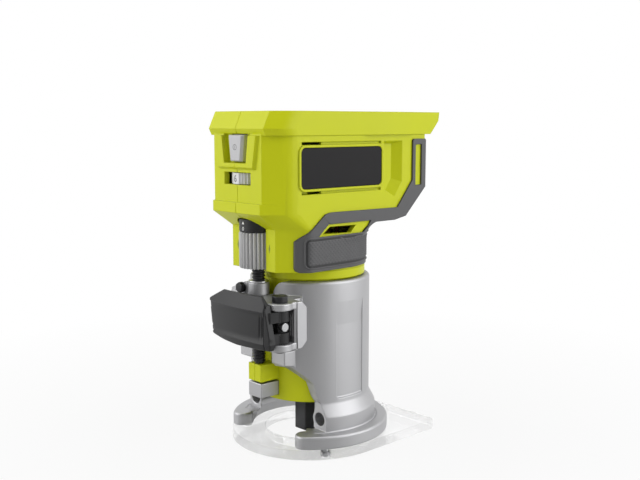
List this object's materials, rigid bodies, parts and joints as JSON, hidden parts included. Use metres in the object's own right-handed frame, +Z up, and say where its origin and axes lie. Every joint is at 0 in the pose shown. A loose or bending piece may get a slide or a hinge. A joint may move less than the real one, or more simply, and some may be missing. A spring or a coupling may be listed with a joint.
{
  "type": "cordless trim router",
  "caption": "Cordless trim router: motor unit sliding in a slit cast base with a cam lever clamp, fine depth screw, clear sub-base, power button, speed dial and battery socket.",
  "frame": {"origin": "spindle axis at the underside of the sub-base, where the tool stands on the work", "axes": "+Z up along the spindle axis, -Y towards the front with the button and depth knob, +X to the right side"},
  "size_m": [0.0996, 0.1485, 0.2045],
  "materials": {
    "cast_grey": "satin",
    "clear_plastic": "gloss",
    "dark_steel": "satin",
    "bright_steel": "satin",
    "black_plastic": "matte",
    "lime_plastic": "satin",
    "grip_rubber": "matte",
    "panel_black": "satin",
    "knob_grey": "satin",
    "control_grey": "satin",
    "board_green": "satin",
    "contact_brass": "satin",
    "lead_red": "satin",
    "magnet_grey": "matte",
    "plate_tan": "matte",
    "carbon": "matte",
    "winding_copper": "satin"
  },
  "bodies": {
    "base": {"base_casting": "cast_grey", "sub_base": "clear_plastic", "sub_base_screws": "dark_steel", "feed_nut": "bright_steel", "feed_nut_screw": "dark_steel", "clamp_bolt": "bright_steel", "lever_pin": "dark_steel", "thrust_washer": "dark_steel"},
    "clamp_lever": {"clamp_lever": "black_plastic"},
    "motor_unit": {"housing_left": "lime_plastic", "housing_right": "lime_plastic", "grip_left": "grip_rubber", "grip_right": "grip_rubber", "nameplate_left": "panel_black", "nameplate_right": "panel_black", "housing_screws": "dark_steel", "power_switch": "black_plastic", "dial_pot": "black_plastic", "control_board": "board_green", "terminal_block": "black_plastic", "terminal_blades": "contact_brass", "battery_leads": "lead_red", "motor_can": "bright_steel", "field_magnets": "magnet_grey", "brush_plate": "plate_tan", "brush_holders": "contact_brass", "brushes": "carbon", "brush_springs": "bright_steel", "lower_bearing": "bright_steel", "upper_bearing": "bright_steel"},
    "rotor": {"spindle": "bright_steel", "armature_core": "dark_steel", "armature_winding": "winding_copper", "commutator": "winding_copper", "cooling_fan": "black_plastic", "collet": "bright_steel", "collet_nut": "dark_steel"},
    "depth_screw": {"depth_screw": "bright_steel", "depth_knob": "knob_grey"},
    "zero_ring": {"zero_ring": "black_plastic"},
    "power_button": {"power_button": "control_grey"},
    "speed_dial": {"speed_dial": "control_grey"},
    "spindle_lock": {"spindle_lock": "bright_steel"}
  },
  "joints": [
    {"name": "depth_slide", "type": "slide", "parent": "base", "child": "motor_unit", "axis": [0, 0, 1], "range_m": [0, 0.035]},
    {"name": "depth_screw_turn", "type": "hinge", "parent": "motor_unit", "child": "depth_screw", "pos_m": [0, -0.0415, 0.1], "axis": [0, 0, 1], "range_deg": [-1, 6301]},
    {"name": "zero_ring_turn", "type": "hinge", "parent": "depth_screw", "child": "zero_ring", "pos_m": [0, -0.0415, 0.138], "axis": [0, 0, 1], "range_deg": [-180, 180]},
    {"name": "spindle_spin", "type": "hinge", "parent": "motor_unit", "child": "rotor", "pos_m": [0, 0, 0.08], "axis": [0, 0, 1], "continuous": true},
    {"name": "lever_swing", "type": "hinge", "parent": "base", "child": "clamp_lever", "pos_m": [0.028, -0.0488, 0.082], "axis": [0, 0, 1], "range_deg": [0, 100]},
    {"name": "button_press", "type": "slide", "parent": "motor_unit", "child": "power_button", "axis": [0, 1, 0], "range_m": [0, 0.0015], "stiffness_N_per_m": 800},
    {"name": "dial_turn", "type": "hinge", "parent": "motor_unit", "child": "speed_dial", "pos_m": [0, -0.042, 0.1658], "axis": [0, 0, 1], "range_deg": [-10, 260]},
    {"name": "lock_press", "type": "slide", "parent": "motor_unit", "child": "spindle_lock", "axis": [0, 1, 0], "range_m": [0, 0.003], "stiffness_N_per_m": 800}
  ],
  "couplings": [
    {"joint": "depth_screw_turn", "follows": "depth_slide", "rad_per_m": 3141.6}
  ]
}
